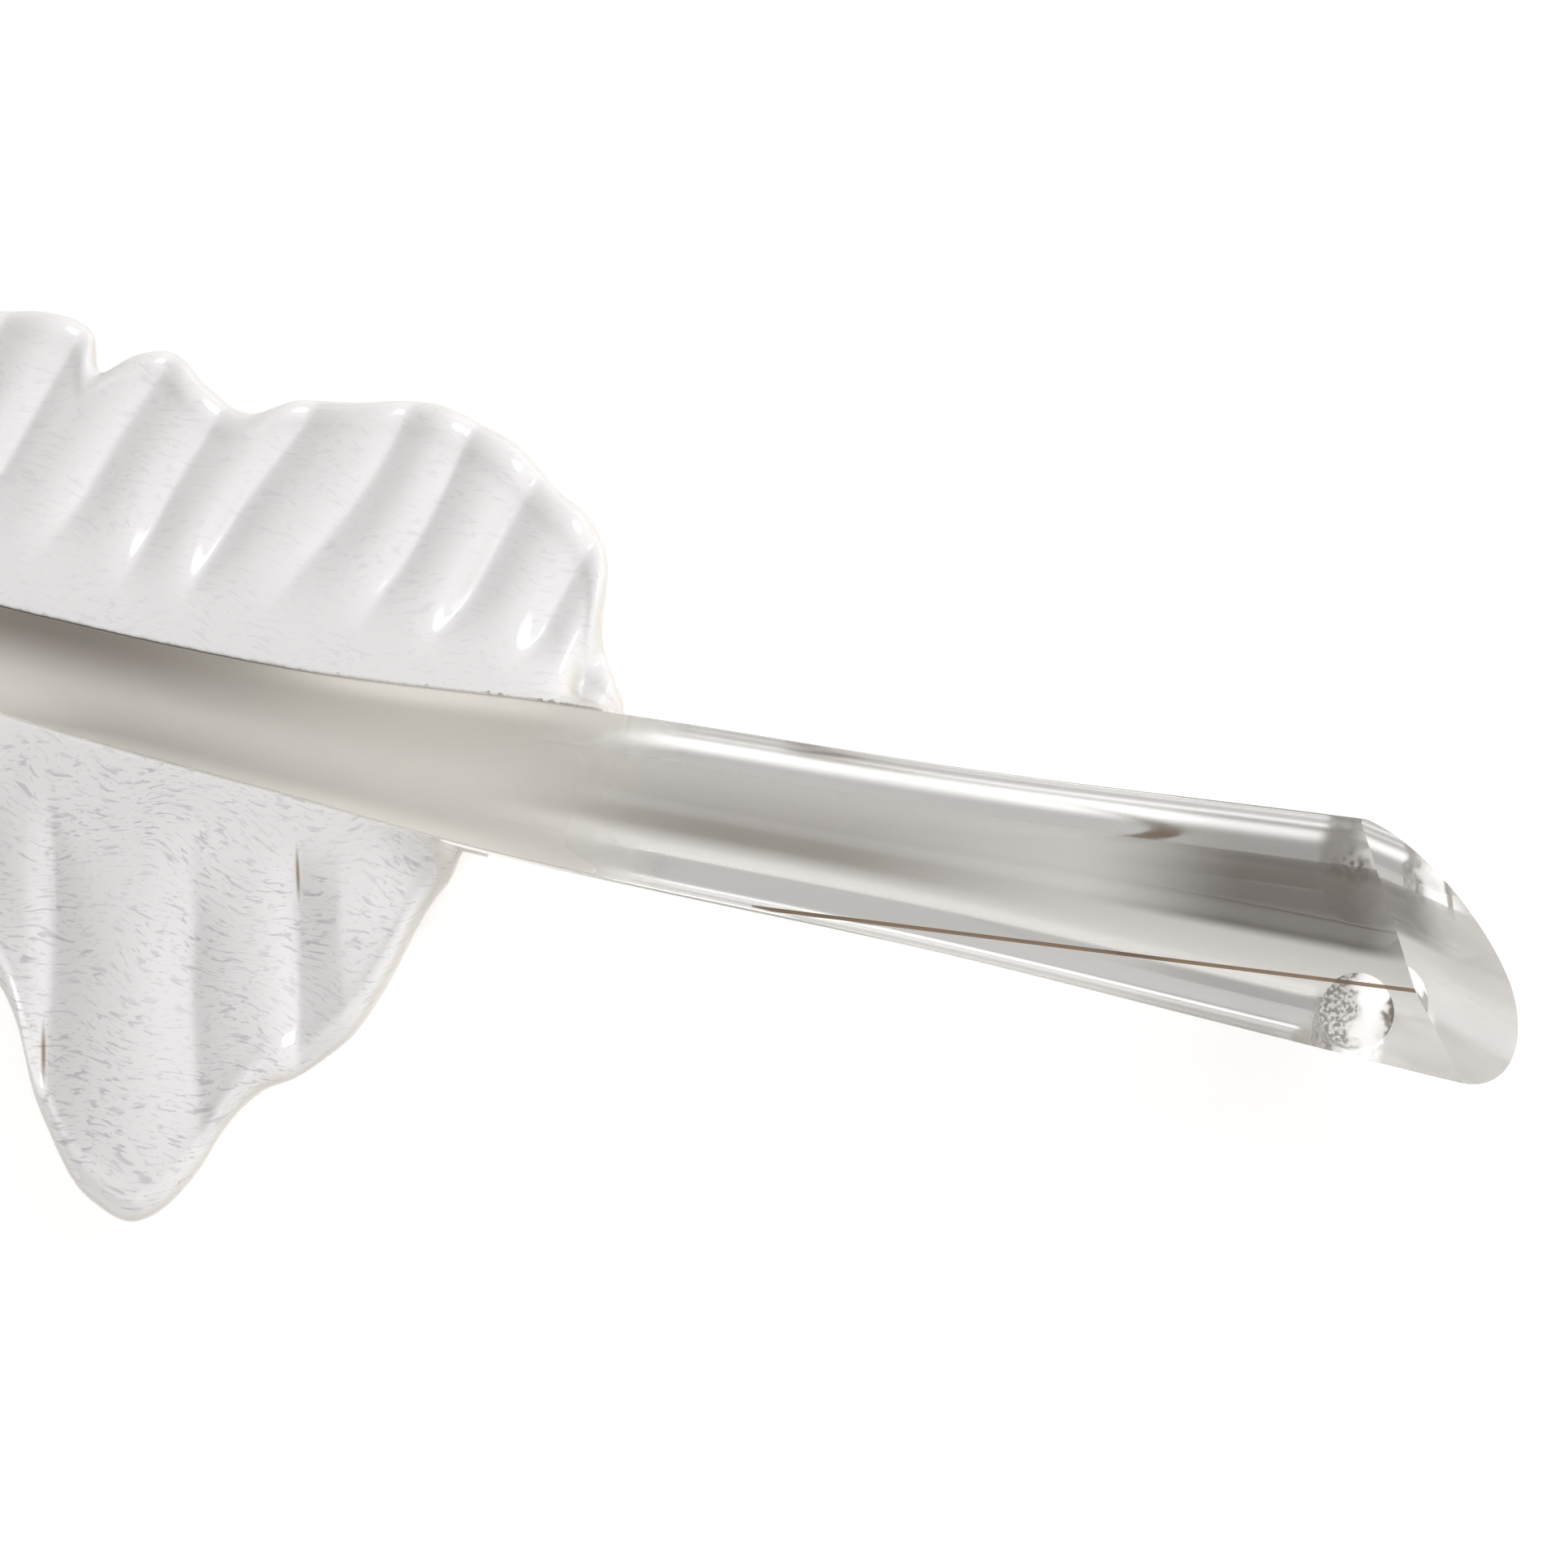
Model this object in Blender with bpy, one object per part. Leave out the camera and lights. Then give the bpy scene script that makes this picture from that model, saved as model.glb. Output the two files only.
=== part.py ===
# Glass quill feather: a clear pulled shaft with a ground flat, an oblique pen cut and a drilled pin hole,
# and two pleated white glass vanes that hold the shaft between them. It lies on its back, flat upwards.
# Metres, +Z up, +X along the shaft towards the cut end, origin under the middle of the part.
import bpy
import bmesh
import math
import numpy as np
from mathutils import Vector, Quaternion

MM = 0.001

# Shaft, in mm. Stations are measured along the shaft from the level where the cut begins.
TIP_X = -280.0
END_X = 44.0
HALF_WIDTHS = [(-280, 1.3), (-250, 2.5), (-200, 4.4), (-150, 6.2), (-130, 6.8), (-115, 7.4), (-104, 8.2),
               (-92, 9.1), (-77, 9.7), (-40, 10.7), (0, 13.0), (20, 14.2), (44, 15.2)]
FLAT_HEIGHT = 16.0
FLAT_HEIGHT_AT = 14.0
FLAT_SLOPE = 0.04
SHOULDER_SHARE = 0.06
ARRIS_SHARE = 0.06
BACK_POWER = 1.8
BACK_STEPS = 18
SHAFT_STATIONS = 26
BEND_FROM = -95.0
BEND = 7.6e-4

# Oblique pen cut through the end
CUT_AXIS_X = 11.5
CUT_LEAN_Y = 0.54
CUT_LEAN_Z = 0.94

# Narrow second facet ground along the near edge of the flat
FACET_LEFT = (-64.0, -9.9)
FACET_RIGHT = (15.0, -5.1)
FACET_TILT = math.radians(18)

# Drilled blind hole in the underside for a stand's pin
HOLE_CENTRE = (8.5, -8.0)
HOLE_RADIUS = 4.2
HOLE_TOP = 12.0

# Vanes
GAP = 0.3
ROOT_PROUD = 0.25
FAR_LEAN = math.radians(18)
NEAR_LEAN = math.radians(12)
LEAST_WIDTH = 1.2
RIM_THICKNESS = 7.0
RIM_TO_SHAFT = 0.62
RIM_STEEPNESS = 1.1
ROUND_SHARE = 0.45
ROOT_STEEPNESS = 1.6
TOP_POWER = 1.6
RIM_STEPS = 5
TOP_STEPS = 9
WALL_STEPS = 3
WALL_FOOT = 1.6
WALL_DROP = 0.9
FOOT_CHAMFER = 0.3
PLEAT_DEPTH = 2.4
PLEAT_START = 0.12
PLEAT_FULL = 0.55
PLEAT_FADE = 0.35
PLEAT_SKEW = 1.2
END_PLEAT_REACH = 6.0
STATIONS_PER_PLEAT = 5

# Distance from the shaft's middle line out to the rim, against where the barb line leaves that line
FAR_RIM = [(-83, 11.2), (-87, 15), (-91, 20), (-94.2, 27.4), (-98.9, 32.7), (-104.2, 35.5),
           (-111.3, 39.8), (-117.2, 41.8), (-124.3, 43.0), (-131, 41.2), (-138, 39.8), (-141.8, 37.0),
           (-148.5, 38.8), (-154.5, 41.8), (-158, 40.2), (-160.6, 37.2), (-164.1, 41.6),
           (-170, 42.4), (-176, 40.6), (-183, 35.6), (-192, 38.0), (-202, 36.8), (-211, 31.4),
           (-222, 32.0), (-233, 29.0), (-243, 23.6), (-254, 21.4), (-266, 15.8), (-276, 9.5), (-284, 3.4)]
NEAR_RIM = [(-94.3, 7.2), (-98.1, 11.0), (-102, 17.1), (-105.8, 24.9), (-109.6, 31.2), (-113.5, 35.1),
            (-117.3, 38.1), (-121.1, 40.5), (-124.9, 44.9), (-128.7, 51.2), (-132.5, 55.9), (-136.3, 58.2),
            (-140.1, 57.3), (-143, 55.3), (-146, 50.6), (-148, 46.3), (-149.7, 40.1), (-152.4, 35.3),
            (-156.8, 32.6), (-163.5, 39.6), (-172, 44.8), (-181, 44.0), (-189.7, 38.0), (-198.6, 39.0),
            (-208.9, 36.8), (-218.6, 30.4), (-229.6, 30.2), (-240, 26.4), (-249.7, 20.2), (-260.1, 16.6),
            (-270.8, 10.6), (-284, 3.4)]
FAR_GROOVES = [-89.5, -97.8, -107, -116.5, -126.2, -136, -145, -154.6, -164, -173.5, -183, -192.5,
               -202, -211.5, -221, -230.5, -240, -249.5, -259, -268.5, -278]
NEAR_GROOVES = [-116.4, -128.6, -146.2, -157.5, -170, -182.5, -195, -207, -218.5, -230, -241, -252, -262,
                -272]


def curve_through(points, at):
    """A smooth curve through a short list of points, read at one place."""
    pts = sorted(points)
    xs = [p[0] for p in pts]
    ys = [p[1] for p in pts]
    if at <= xs[0]:
        return ys[0]
    if at >= xs[-1]:
        return ys[-1]
    i = int(np.searchsorted(xs, at)) - 1
    steps = [(ys[k + 1] - ys[k]) / (xs[k + 1] - xs[k]) for k in range(len(xs) - 1)]

    def slope(k):
        if k == 0:
            return steps[0]
        if k == len(xs) - 1:
            return steps[-1]
        return (steps[k - 1] + steps[k]) / 2

    width = xs[i + 1] - xs[i]
    t = (at - xs[i]) / width
    return ((1 + 2 * t) * (1 - t) ** 2 * ys[i] + t * (1 - t) ** 2 * width * slope(i)
            + t * t * (3 - 2 * t) * ys[i + 1] + t * t * (t - 1) * width * slope(i + 1))


def middle_y(x):
    """The shaft's middle line runs straight from the cut end, then bends gently to the far side."""
    return BEND * min(0.0, x - BEND_FROM) ** 2


def half_width(x):
    return curve_through(HALF_WIDTHS, x)


def flat_z(x):
    return FLAT_HEIGHT + FLAT_SLOPE * (x - FLAT_HEIGHT_AT)


def back_y(x, z):
    """Half the width of the shaft's round back at height z."""
    widest = flat_z(x) * (1 - SHOULDER_SHARE)
    depth = min(1.0, max(0.0, (widest - z) / widest))
    return half_width(x) * (1 - depth ** BACK_POWER) ** (1 / BACK_POWER)


def shaft_ring(x):
    """One section of the shaft: a ground flat, two narrow rounded edges and a half-round back."""
    wide, top = half_width(x), flat_z(x)
    widest = top * (1 - SHOULDER_SHARE)
    arris = ARRIS_SHARE * wide
    ring = []
    for step in range(3):
        turn = math.radians(90 - 45 * step)
        ring.append((-wide + arris - arris * math.cos(turn), widest + (top - widest) * math.sin(turn)))
    for step in range(1, BACK_STEPS):
        turn = math.pi * step / BACK_STEPS
        across = math.copysign(abs(math.cos(turn)) ** (2 / BACK_POWER), math.cos(turn))
        ring.append((-wide * across, widest - widest * math.sin(turn) ** (2 / BACK_POWER)))
    for step in range(3):
        turn = math.radians(45 * step)
        ring.append((wide - arris + arris * math.cos(turn), widest + (top - widest) * math.sin(turn)))
    return [(x * MM, (middle_y(x) + y) * MM, z * MM) for y, z in ring]


def pleat_height(grooves, root_x):
    """Height share across a pleat: round on top, a little fuller towards the cut end, creased on both sides."""
    edges = sorted(grooves)
    if root_x <= edges[0] or root_x >= edges[-1]:
        near = edges[0] if root_x <= edges[0] else edges[-1]
        return min(1.0, abs(root_x - near) / END_PLEAT_REACH)
    i = int(np.searchsorted(edges, root_x)) - 1
    share = ((root_x - edges[i]) / (edges[i + 1] - edges[i])) ** PLEAT_SKEW
    return 4 * share * (1 - share)


def ease(low, high, value):
    t = min(1.0, max(0.0, (value - low) / (high - low)))
    return t * t * (3 - 2 * t)


def place(side, lean, root_x, out, z):
    """A vane's point: root_x along the shaft, then out along a barb line that leans to the cut end."""
    x = root_x + out * math.tan(lean)
    return x * MM, (middle_y(x) + side * out) * MM, z * MM


def vane_section(side, lean, root_x, rim, grooves):
    """The closed section of a vane along one barb line. Where the vane is narrow it is also low."""
    guess = root_x + half_width(root_x) * math.tan(lean)
    width = max(curve_through(rim, root_x) - half_width(guess) - GAP, LEAST_WIDTH)
    rim_high = min(RIM_THICKNESS, RIM_TO_SHAFT * flat_z(guess), RIM_STEEPNESS * width + LEAST_WIDTH)
    rim_round = min(rim_high / 2, ROUND_SHARE * width)
    root_top = min(flat_z(guess) + ROOT_PROUD, rim_high + ROOT_STEEPNESS * width)
    wall_top = min(flat_z(guess) * (1 - SHOULDER_SHARE), root_top - WALL_DROP)
    inner = back_y(guess, root_top) + GAP
    outer = inner + width
    groove = PLEAT_DEPTH * (rim_high / RIM_THICKNESS) * (1 - pleat_height(grooves, root_x))
    points = []
    for step in range(WALL_STEPS + 1):
        z = WALL_FOOT + (wall_top - WALL_FOOT) * step / WALL_STEPS
        points.append(place(side, lean, root_x, back_y(guess, z) + GAP, z))
    for step in range(TOP_STEPS + 1):
        v = step / TOP_STEPS
        out = inner + (outer - rim_round - inner) * v
        z = rim_high + (root_top - rim_high) * (1 - v) ** TOP_POWER
        z -= groove * ease(PLEAT_START, PLEAT_FULL, v) * (1 - PLEAT_FADE * v)
        points.append(place(side, lean, root_x, out, z))
    edge_z = z
    for step in range(1, RIM_STEPS):
        turn = math.pi * step / RIM_STEPS
        out = outer - rim_round + rim_round * math.sin(turn)
        points.append(place(side, lean, root_x, out, edge_z / 2 + edge_z / 2 * math.cos(turn)))
    points.append(place(side, lean, root_x, outer - rim_round, 0))
    points.append(place(side, lean, root_x, back_y(guess, WALL_FOOT) + GAP + FOOT_CHAMFER, 0))
    return points


def loft(name, rings):
    """Skins a row of closed rings and caps both ends."""
    mesh = bpy.data.meshes.new(name)
    bm = bmesh.new()
    rows = [[bm.verts.new(p) for p in ring] for ring in rings]
    count = len(rows[0])
    for a, b in zip(rows, rows[1:]):
        for k in range(count):
            bm.faces.new((a[k], a[(k + 1) % count], b[(k + 1) % count], b[k]))
    bm.faces.new(rows[0])
    bm.faces.new(list(reversed(rows[-1])))
    bmesh.ops.recalc_face_normals(bm, faces=bm.faces)
    bmesh.ops.triangulate(bm, faces=[f for f in bm.faces if len(f.verts) > 4])
    bm.to_mesh(mesh)
    bm.free()
    mesh.shade_smooth()
    mesh.set_sharp_from_angle(angle=math.radians(35))
    obj = bpy.data.objects.new(name, mesh)
    bpy.context.scene.collection.objects.link(obj)
    return obj


def cutter_box(name, face_centre, outward, size):
    """A box whose lower face lies on the cutting plane and whose body is on the side to remove."""
    mesh = bpy.data.meshes.new(name)
    bm = bmesh.new()
    bmesh.ops.create_cube(bm, size=size * MM)
    bmesh.ops.translate(bm, verts=bm.verts, vec=(0, 0, size * MM / 2))
    bm.to_mesh(mesh)
    bm.free()
    obj = bpy.data.objects.new(name, mesh)
    obj.location = face_centre * MM
    obj.rotation_mode = "QUATERNION"
    obj.rotation_quaternion = outward.to_track_quat("Z", "Y")
    bpy.context.scene.collection.objects.link(obj)
    return hidden(obj)


def hidden(obj):
    obj.hide_render = True
    obj.display_type = "WIRE"
    return obj


def hole_cutter():
    mesh = bpy.data.meshes.new("pin_hole_cutter")
    bm = bmesh.new()
    depth = HOLE_TOP + 4
    bmesh.ops.create_cone(bm, cap_ends=True, segments=28, radius1=HOLE_RADIUS * MM,
                          radius2=HOLE_RADIUS * MM, depth=depth * MM)
    bm.to_mesh(mesh)
    bm.free()
    obj = bpy.data.objects.new("pin_hole_cutter", mesh)
    obj.location = Vector((HOLE_CENTRE[0], HOLE_CENTRE[1], HOLE_TOP - depth / 2)) * MM
    bpy.context.scene.collection.objects.link(obj)
    return hidden(obj)


def cut(obj, cutter):
    modifier = obj.modifiers.new(cutter.name, "BOOLEAN")
    modifier.operation = "DIFFERENCE"
    modifier.solver = "EXACT"
    modifier.object = cutter


def glass(name, colour, roughness, transmission):
    material = bpy.data.materials.new(name)
    material.use_nodes = True
    shader = material.node_tree.nodes["Principled BSDF"]
    shader.inputs["Base Color"].default_value = (*colour, 1)
    shader.inputs["Roughness"].default_value = roughness
    shader.inputs["Metallic"].default_value = 0
    shader.inputs["Transmission Weight"].default_value = transmission
    shader.inputs["IOR"].default_value = 1.52
    return material


def make_shaft():
    stations = np.linspace(TIP_X, END_X, SHAFT_STATIONS)
    shaft = loft("quill_shaft", [shaft_ring(float(x)) for x in stations])
    pen = cutter_box("pen_cutter", Vector((CUT_AXIS_X, 0, FLAT_HEIGHT)),
                     Vector((1, CUT_LEAN_Y, CUT_LEAN_Z)).normalized(), 120)
    left = Vector((*FACET_LEFT, flat_z(FACET_LEFT[0])))
    right = Vector((*FACET_RIGHT, flat_z(FACET_RIGHT[0])))
    along = (right - left).normalized()
    flat_normal = Vector((-FLAT_SLOPE, 0, 1)).normalized()
    facet_normal = Quaternion(along, FACET_TILT) @ flat_normal
    facet = cutter_box("facet_cutter", (left + right) / 2, facet_normal, 300)
    cut(shaft, facet)
    cut(shaft, hole_cutter())
    cut(shaft, pen)
    shaft.data.materials.append(glass("clear_crystal", (0.93, 0.93, 0.92), 0.02, 1.0))
    return shaft


def make_vane(name, side, lean, rim, grooves):
    """A vane's stations follow its grooves, so that every pleat has the same number of sections."""
    ends = [max(p[0] for p in rim), min(p[0] for p in rim)]
    marks = sorted([*[g for g in grooves if ends[1] < g < ends[0]], *ends])
    stations = []
    for low, high in zip(marks, marks[1:]):
        stations += [float(s) for s in np.linspace(low, high, STATIONS_PER_PLEAT, endpoint=False)]
    stations.append(marks[-1])
    vane = loft(name, [vane_section(side, lean, s, rim, grooves) for s in stations])
    vane.data.materials.append(glass("white_glass", (0.86, 0.85, 0.85), 0.12, 0.0))
    return vane


def centre_on_origin(objects):
    """Moves the part so that the origin is under the middle of its box."""
    bpy.context.view_layer.update()
    graph = bpy.context.evaluated_depsgraph_get()
    corners = []
    for obj in objects:
        shape = obj.evaluated_get(graph).to_mesh()
        corners += [obj.matrix_world @ v.co for v in shape.vertices]
        obj.evaluated_get(graph).to_mesh_clear()
    low = [min(c[k] for c in corners) for k in range(3)]
    high = [max(c[k] for c in corners) for k in range(3)]
    shift = Vector((-(low[0] + high[0]) / 2, -(low[1] + high[1]) / 2, -low[2]))
    for obj in bpy.data.objects:
        obj.location += shift
    print("moved by", [round(v / MM, 3) for v in shift])


for old in list(bpy.data.objects):
    bpy.data.objects.remove(old, do_unlink=True)
pieces = [make_shaft(),
          make_vane("far_vane", 1, FAR_LEAN, FAR_RIM, FAR_GROOVES),
          make_vane("near_vane", -1, NEAR_LEAN, NEAR_RIM, NEAR_GROOVES)]
centre_on_origin(pieces)
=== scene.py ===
import bpy
import bmesh
import math
import numpy as np
from mathutils import Matrix, Quaternion, Vector


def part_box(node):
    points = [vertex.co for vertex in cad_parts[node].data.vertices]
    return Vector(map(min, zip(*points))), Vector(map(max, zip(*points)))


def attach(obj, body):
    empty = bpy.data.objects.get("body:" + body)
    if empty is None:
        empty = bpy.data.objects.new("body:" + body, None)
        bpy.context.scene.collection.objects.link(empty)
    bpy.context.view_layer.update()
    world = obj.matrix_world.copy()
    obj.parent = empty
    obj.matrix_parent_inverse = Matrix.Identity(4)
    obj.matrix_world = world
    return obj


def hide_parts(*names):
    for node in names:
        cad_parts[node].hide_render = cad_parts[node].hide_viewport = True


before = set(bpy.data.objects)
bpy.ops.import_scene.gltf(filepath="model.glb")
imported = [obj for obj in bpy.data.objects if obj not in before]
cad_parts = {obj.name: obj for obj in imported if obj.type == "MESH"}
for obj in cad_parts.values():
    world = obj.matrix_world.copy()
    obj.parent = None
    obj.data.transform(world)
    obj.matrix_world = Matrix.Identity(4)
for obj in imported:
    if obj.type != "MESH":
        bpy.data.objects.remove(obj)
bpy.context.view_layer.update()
mm = 0.001

# A quill feather of glass: a clear shaft, cut like a pen, with two white pleated vanes fused to its sides.


def linearColour(code):  # sRGB hex to linear, with alpha 1
    parts = [int(code[i:i + 2], 16) / 255 for i in (1, 3, 5)]
    return (*[c / 12.92 if c <= 0.04045 else ((c + 0.055) / 1.055) ** 2.4 for c in parts], 1.0)


# One node with its settings. A feed is a value, a colour as hex, or the output that is linked in.
# It gives back the output that is asked for, by place or name.
def addNode(tree, kind, feeds=None, gives=0, **settings):
    node = tree.nodes.new(kind)
    for name, value in settings.items():
        setattr(node, name, value)
    for socket, feed in (feeds or {}).items():
        if isinstance(feed, bpy.types.NodeSocket):
            tree.links.new(feed, node.inputs[socket])
        else:
            node.inputs[socket].default_value = linearColour(feed) if isinstance(feed, str) else feed
    return node.outputs[gives] if len(node.outputs) else node


# How strongly a patch shows: soft steps, multiplied. Each step reads one value and goes from nothing where
# it begins to all where it is full, or between the two shares that follow.
def patchShare(tree, *steps):
    share = None
    for place, begins, full, *shares in steps:
        low, high = shares or (0.0, 1.0)
        step = addNode(tree, "ShaderNodeMapRange", {
            "Value": place, "From Min": begins, "From Max": full, "To Min": low, "To Max": high,
        }, interpolation_type="SMOOTHSTEP")
        if share is None:
            share = step
        else:
            share = addNode(tree, "ShaderNodeMath", {0: share, 1: step}, operation="MULTIPLY")
    return share


def layColours(tree, colour, *coats):  # coats laid over a colour one by one, each with how much of it shows
    for coat, share in coats:
        colour = addNode(tree, "ShaderNodeMix", {0: share, 6: colour, 7: coat}, 2, data_type="RGBA")
    return colour


def newMaterial(name):
    material = bpy.data.materials.new(name)
    material.use_nodes = True
    material.node_tree.nodes.clear()
    return material, material.node_tree


def meshObject(name, points, faces, material):
    mesh = bpy.data.meshes.new(name)
    mesh.from_pydata([tuple(p) for p in points], [], faces)
    mesh.validate()
    mesh.materials.append(material)
    obj = bpy.data.objects.new(name, mesh)
    bpy.context.scene.collection.objects.link(obj)
    return obj


def ringFaces(rows, count):  # the skin over a row of rings, closed at both ends
    faces = []
    for a in range(rows - 1):
        for k in range(count):
            n = (k + 1) % count
            faces.append((a * count + k, a * count + n, (a + 1) * count + n, (a + 1) * count + k))
    faces.append(tuple(range(count)))
    faces.append(tuple((rows - 1) * count + k for k in reversed(range(count))))
    return faces


def smoothThrough(points, at):  # a smooth curve through a few points, read at many places at once
    pts = sorted(points)
    xs = np.array([p[0] for p in pts], float)
    ys = np.array([p[1] for p in pts], float)
    at = np.clip(np.asarray(at, float), xs[0], xs[-1])
    steps = np.diff(ys) / np.diff(xs)
    slopes = np.concatenate([[steps[0]], (steps[:-1] + steps[1:]) / 2, [steps[-1]]])
    i = np.clip(np.searchsorted(xs, at, side="right") - 1, 0, len(xs) - 2)
    width = xs[i + 1] - xs[i]
    t = (at - xs[i]) / width
    return ((1 + 2 * t) * (1 - t) ** 2 * ys[i] + t * (1 - t) ** 2 * width * slopes[i]
            + t * t * (3 - 2 * t) * ys[i + 1] + t * t * (t - 1) * width * slopes[i + 1])


def easeIn(low, high, value):
    t = np.clip((value - low) / (high - low), 0, 1)
    return t * t * (3 - 2 * t)


# The shaft, in mm, as the part is built. x runs along it to the pen cut and y across it.
shaftSet = {
    "tipX": -280.0,
    "endX": 44.0,  # the rod's end before the pen cut takes it off
    "halfWidths": [(-280, 1.3), (-250, 2.5), (-200, 4.4), (-150, 6.2), (-130, 6.8), (-115, 7.4),
                   (-104, 8.2), (-92, 9.1), (-77, 9.7), (-40, 10.7), (0, 13.0), (20, 14.2), (44, 15.2)],
    "flatHeight": 16.0,
    "flatHeightAt": 14.0,
    "flatSlope": 0.04,
    "shoulderShare": 0.06,
    "arrisShare": 0.06,
    "backPower": 1.8,  # 2 would be a plain half ellipse
    "bendFrom": -95.0,
    "bend": 7.6e-4,
    "facetLeft": (-64.0, -9.9),
    "facetRight": (15.0, -5.1),
    "facetTilt": 18,
    "facetBlock": 300,  # side of the block that takes it off
    "ridgeRub": 0.035,
    "cutX": 11.5,
    "cutLean": (0.54, 0.94),
    "cutBlock": 120,
    "holeAt": (8.5, -8.0),
    "holeRadius": 4.2,
    "holeTop": 12.0,
    "holeOver": 4.0,  # how far below the rod the drill starts
    "holeSides": 72,
    "backBelow": 0.6,  # faces that look up less than this belong to the fire-finished back
    "sharpFrom": 24,  # degrees
    "stations": 180,
    "backSteps": 96,
    "arrisSteps": 6,
}


def middleY(x):
    return shaftSet["bend"] * np.minimum(0.0, np.asarray(x, float) - shaftSet["bendFrom"]) ** 2


def halfWidth(x):
    return smoothThrough(shaftSet["halfWidths"], x)


def flatZ(x):
    rise = shaftSet["flatSlope"] * (np.asarray(x, float) - shaftSet["flatHeightAt"])
    return shaftSet["flatHeight"] + rise


def backY(x, z):  # half the back's width at a height
    widest = flatZ(x) * (1 - shaftSet["shoulderShare"])
    depth = np.clip((widest - z) / widest, 0, 1)
    return halfWidth(x) * (1 - depth ** shaftSet["backPower"]) ** (1 / shaftSet["backPower"])


# Where the CAD's own origin lies in these numbers, read from the frame's boxes
shaftLow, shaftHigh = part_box("quill_shaft")
tipFarY = float(middleY(shaftSet["tipX"]) + halfWidth(shaftSet["tipX"]))
shift = Vector((shaftLow[0] - shaftSet["tipX"] * mm, shaftHigh[1] - tipFarY * mm, shaftLow[2]))
print("origin shift in mm", [round(v / mm, 2) for v in shift])


# Crystal: a lead-free optical glass, pulled into a rod, then ground flat and polished. It is clear, with
# sharp reflections, and greys a little with depth.
crystalSet = {
    "clear": "#fdfdfc",
    "ior": 1.54,
    "depthTint": "#b9b2a9",
    "depthDensity": 4.0,  # absorption for each metre of glass
}


def finishCrystal(tree, feeds):  # a surface with the same glass behind it
    shader = addNode(tree, "ShaderNodeBsdfPrincipled", {"IOR": crystalSet["ior"], **feeds})
    depth = addNode(tree, "ShaderNodeVolumeAbsorption", {
        "Color": crystalSet["depthTint"], "Density": crystalSet["depthDensity"]})
    addNode(tree, "ShaderNodeOutputMaterial", {"Surface": shader, "Volume": depth})


def shaftPlace(tree):  # mm along the shaft, and the share of the half width across it
    place = addNode(tree, "ShaderNodeUVMap", uv_map="shaftPlace")
    parts = addNode(tree, "ShaderNodeSeparateXYZ", {"Vector": place}).node
    return parts.outputs["X"], parts.outputs["Y"]


def crystalPolished():
    material, tree = newMaterial("crystalPolished")
    finishCrystal(tree, {"Base Color": crystalSet["clear"], "Roughness": 0.0, "Transmission Weight": 1.0})
    return material


# Where the ridge between the two flats is rubbed down by hand, a slightly matt hair line is left, which
# holds a little brown rouge.
ridgeSet = {
    "rouge": "#7a5f43",
    "rough": 0.3,
    "clearness": 0.45,
}


def crystalRubbedRidge():
    material, tree = newMaterial("crystalRubbedRidge")
    finishCrystal(tree, {"Base Color": ridgeSet["rouge"], "Roughness": ridgeSet["rough"],
                         "Transmission Weight": ridgeSet["clearness"]})
    return material


# The hole's wall is ground with grit: matt and speckled. Where the light from the nib comes in it takes a
# bright patch of painted light that also glows, and its far corner a brown patch of painted shade. The
# grains are drawn coarser than real grit, so that they show.
holeSet = {
    "pit": "#8b8580",
    "ground": "#ffffff",
    "paintedCornerShade": "#4a3a2c",
    "rough": 0.5,
    "clearness": 0.5,
    "grains": 1.9,  # for each mm
    "grainDetail": 3.0,
    "grainTurn": (0.40, 0.60),
    "patches": 0.42,  # for each mm
    "patchDetail": 2.0,
    "ragged": 5.0,  # mm by which the borders of the painted light patch and the painted shade patch stray
    "paintedLightAlong": (7.4, 9.2),  # mm along the shaft
    "paintedCornerShadeAlong": (11.6, 12.8),
    "paintedGlow": 0.30,
}


def crystalGroundMatt():
    h = holeSet
    material, tree = newMaterial("crystalGroundMatt")
    place = addNode(tree, "ShaderNodeTexCoord", gives="Object")
    grit = addNode(tree, "ShaderNodeTexNoise", {
        "Vector": place, "Scale": h["grains"] / mm, "Detail": h["grainDetail"]})
    slow = addNode(tree, "ShaderNodeTexNoise", {
        "Vector": place, "Scale": h["patches"] / mm, "Detail": h["patchDetail"]})
    stray = patchShare(tree, (slow, 0.0, 1.0, -h["ragged"] / 2, h["ragged"] / 2))
    x = addNode(tree, "ShaderNodeMath", {0: shaftPlace(tree)[0], 1: stray}, operation="ADD")
    # painted light: a bright, glowing patch near the nib; painted shade: a brown patch in the far corner
    bright = patchShare(tree, (x, *h["paintedLightAlong"]))
    tone = layColours(tree, h["pit"],
                      (h["ground"], patchShare(tree, (grit, *h["grainTurn"]))),
                      (h["ground"], bright),
                      (h["paintedCornerShade"], patchShare(tree, (x, *h["paintedCornerShadeAlong"]))))
    finishCrystal(tree, {"Base Color": tone, "Roughness": h["rough"], "Transmission Weight": h["clearness"],
                         "Emission Color": layColours(tree, "#000000", (tone, bright)),
                         "Emission Strength": h["paintedGlow"]})
    return material
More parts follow.
